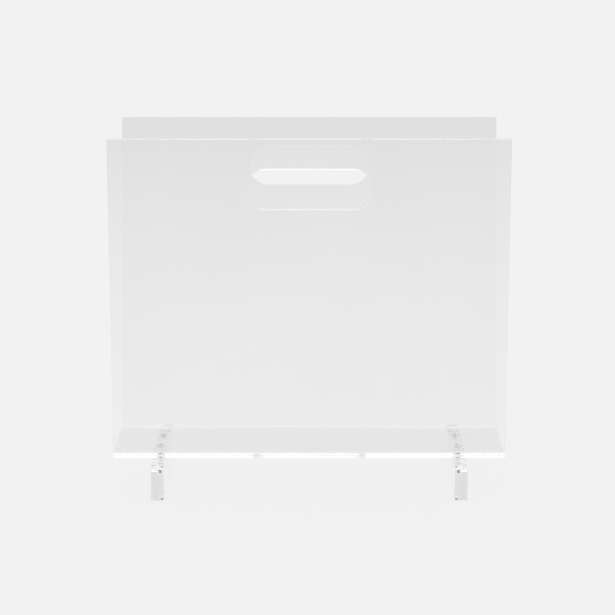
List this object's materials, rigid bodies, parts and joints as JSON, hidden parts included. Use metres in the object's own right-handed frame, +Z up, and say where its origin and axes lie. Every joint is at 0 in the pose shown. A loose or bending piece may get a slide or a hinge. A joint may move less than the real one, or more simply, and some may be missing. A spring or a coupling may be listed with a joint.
{
  "type": "magazine file holder",
  "caption": "Clear open-ended magazine holder: a bent sheet with flared front and back panels and handle slots, on two plate feet.",
  "frame": {"origin": "on the ground under the middle of the holder", "axes": "+X along the panels' width to the holder's right, +Y from its front to its back, +Z up"},
  "size_m": [0.312, 0.1678, 0.2899],
  "materials": {
    "clear_acrylic": "polished, colourless and transparent",
    "stainless_steel": "satin",
    "clear_urethane": "soft satin, nearly clear"
  },
  "bodies": {
    "root": {"tray_sheet": "clear_acrylic", "foot_left": "clear_acrylic", "foot_right": "clear_acrylic", "screw_left_front": "stainless_steel", "screw_left_rear": "stainless_steel", "screw_right_front": "stainless_steel", "screw_right_rear": "stainless_steel", "bumper_pad_left_front": "clear_urethane", "bumper_pad_left_rear": "clear_urethane", "bumper_pad_right_front": "clear_urethane", "bumper_pad_right_rear": "clear_urethane"}
  },
  "joints": []
}
